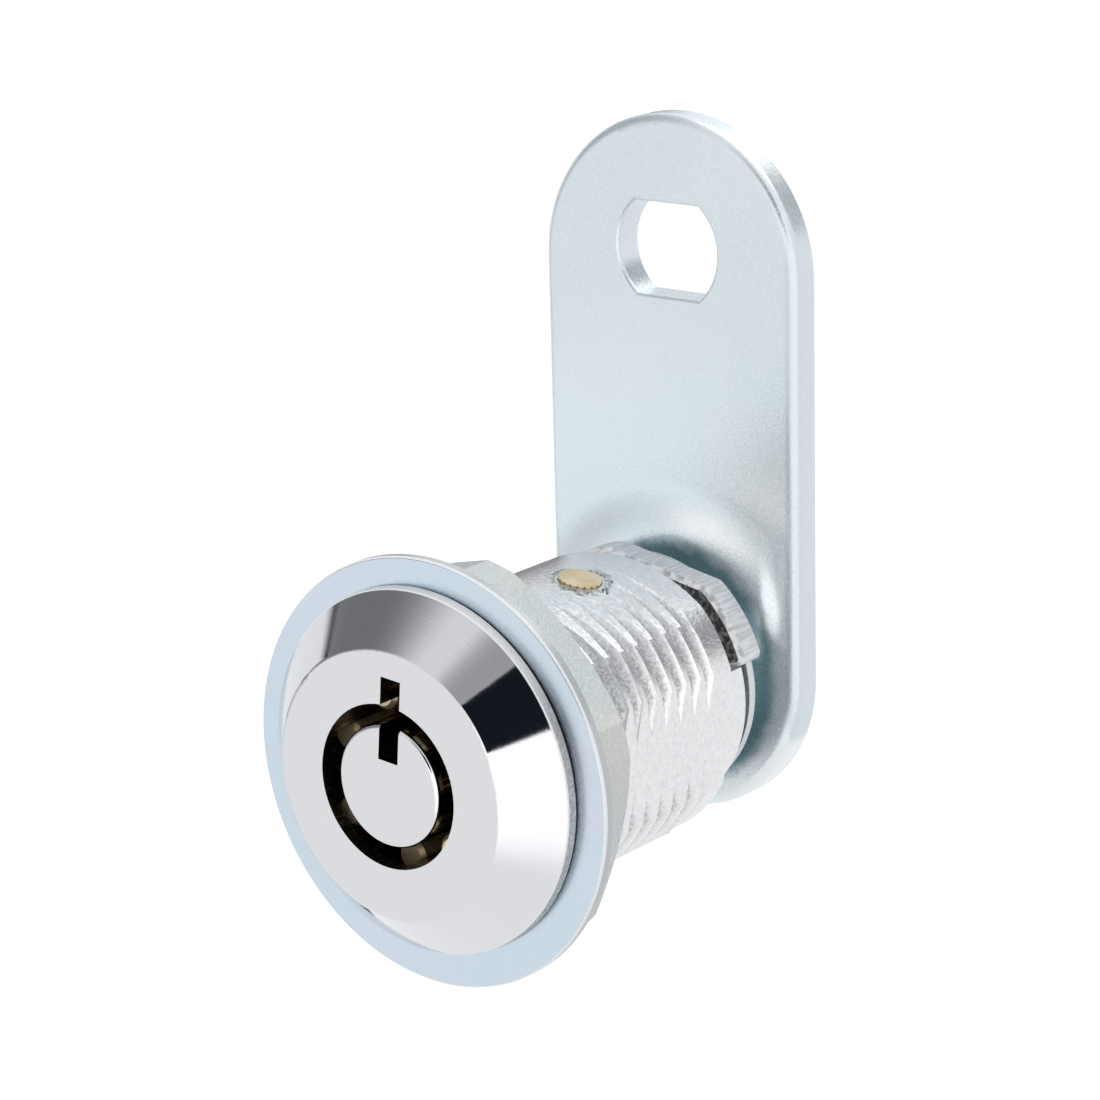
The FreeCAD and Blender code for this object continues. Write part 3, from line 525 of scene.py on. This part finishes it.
def dress_nodes():
    """Give every piece its finish and smooth its curved faces."""
    finishes = {
        "housing": housing_finish(),
        "spindle": spindle_finish(),
        "bushing": mottled_finish("cast_finish", CAST_TONE, "plain_cast", CAST_ROUGH,
                                  grain_scale=3.0, grain_detail=4.0, grain_depth=0.02),
        "dress_washer": plate_finish("washer_finish", "washer", ZINC_ROUGH, washer_shade,
                                     grain_scale=9.0, grain_depth=0.002),
        "cam": plate_finish("cam_finish", "cam", ZINC_ROUGH, cam_shade, SPECKLE_SHARE,
                            grain_scale=6.0, grain_depth=0.01),
        "mounting_nut": plate_finish("nut_finish", "nut", NUT_ROUGH, nut_shade, SPECKLE_SHARE,
                                     grain_scale=7.0, grain_depth=0.025),
        "stop_plate": plate_finish("stop_finish", "steel", STOP_ROUGH, stop_shade,
                                   grain_scale=5.0, grain_depth=0.01)}
    steel = plate_finish("steel_finish", "steel", ZINC_ROUGH)
    spring = plate_finish("spring_finish", "spring", SPRING_ROUGH)
    brass = mottled_finish("brass_finish", BRASS_TONE, "brass", BRASS_ROUGH, BRASS_DULL,
                           grain_scale=5.0, grain_detail=3.0, grain_depth=0.006)
    for name, node in NODES.items():
        finish = finishes.get(name, steel)
        if "_pin" in name or "pin_" in name:
            finish = spring if name.startswith("pin_spring") else brass
        node.data.materials.clear()
        node.data.materials.append(finish)
        node.data.shade_smooth()
        node.data.set_sharp_from_angle(angle=math.radians(SHARP_ANGLE))


def squash_springs():
    """Give each pin spring a mesh of its own."""
    for name, node in NODES.items():
        if name.startswith("pin_spring_"):
            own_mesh(node)


def studio_tone(tree, way):
    """Tone that metal meets in each direction: pale all round, with the screens before it."""
    tone = STUDIO_TONE
    for middle, full, gone, shade in SCREENS:
        near = tree.vector("DOT_PRODUCT", way, direction(*middle))
        cover = tree.step(near, math.cos(math.radians(gone)), math.cos(math.radians(full)))
        tone = tree.mix(cover, tone, shade)
    return tone


def studio_world():
    """White for the camera, studio tones for metal and soft white light for everything else."""
    world = bpy.data.worlds.new("studio")
    world.use_nodes = True
    bpy.context.scene.world = world
    tree = Tree(world.node_tree)
    background = world.node_tree.nodes["Background"]
    ray = tree.add("ShaderNodeLightPath")
    tone = studio_tone(tree, tree.add("ShaderNodeTexCoord").outputs["Generated"])
    colour = tree.mix(ray.outputs["Is Glossy Ray"], AMBIENT_TONE, tone)
    plain = tree.most(ray.outputs["Is Camera Ray"], ray.outputs["Is Transmission Ray"])
    tree.feed(background.inputs["Color"], tree.mix(plain, colour, WHITE))
    tree.feed(background.inputs["Strength"], 1.0)


def place_facing(item, target, way, distance):
    """Put a lamp or camera at a distance from a target, looking back at it."""
    bpy.context.scene.collection.objects.link(item)
    item.location = target + way * distance
    item.rotation_mode = "QUATERNION"
    item.rotation_quaternion = way.to_track_quat("Z", "Y")


def key_lamp():
    """One large square lamp, above and behind the lock."""
    lamp = bpy.data.lights.new("key_lamp", "AREA")
    lamp.size = LAMP_SIZE
    lamp.energy = LAMP_POWER
    place_facing(bpy.data.objects.new("key_lamp", lamp), TARGET, direction(*LAMP_WAY),
                 LAMP_DISTANCE)


def floor():
    """Plain pale floor, white to the camera apart from the lock's own faint shadow."""
    mesh = bpy.data.meshes.new("floor")
    half = FLOOR_SIZE / 2
    corners = [(-half, -half), (half, -half), (half, half), (-half, half)]
    mesh.from_pydata([(x, y, -FLOOR_DROP) for x, y in corners], [], [(0, 1, 2, 3)])
    item = bpy.data.objects.new("floor", mesh)
    bpy.context.scene.collection.objects.link(item)
    finish = bpy.data.materials.new("floor_finish")
    finish.use_nodes = True
    tree = Tree(finish.node_tree)
    shader = finish.node_tree.nodes["Principled BSDF"]
    ray = tree.add("ShaderNodeLightPath")
    glossy = ray.outputs["Is Glossy Ray"]
    place = tree.add("ShaderNodeNewGeometry").outputs["Position"]
    way = tree.vector("NORMALIZE", tree.vector("SUBTRACT", place, tuple(LOCK_MIDDLE)))
    plain = tree.most(ray.outputs["Is Camera Ray"], ray.outputs["Is Transmission Ray"])
    glow = tree.mix(glossy, FLOOR_GLOW, studio_tone(tree, way))
    tree.feed(shader.inputs["Base Color"], tree.mix(glossy, FLOOR_TONE, BLACK))
    tree.feed(shader.inputs["Specular IOR Level"], 0.0)
    tree.feed(shader.inputs["Roughness"], FLOOR_ROUGH)
    tree.feed(shader.inputs["Emission Color"], glow)
    tree.feed(shader.inputs["Emission Strength"], tree.most(plain, glossy))
    mesh.materials.append(finish)


def camera():
    """Camera at the photograph's viewing angle."""
    data = bpy.data.cameras.new("camera")
    data.sensor_width = SENSOR
    data.lens = FOCAL_PIXELS / PHOTO_PIXELS * SENSOR
    data.clip_start, data.clip_end = CLIP_NEAR, CLIP_FAR
    item = bpy.data.objects.new("camera", data)
    place_facing(item, TARGET, direction(AZIMUTH, ELEVATION), DISTANCE)
    roll = Quaternion((0, 0, 1), math.radians(ROLL))
    item.rotation_quaternion = item.rotation_quaternion @ roll
    bpy.context.scene.camera = item


bpy.context.scene.view_settings.view_transform = "Standard"
dress_nodes()
squash_springs()
studio_world()
key_lamp()
floor()
camera()
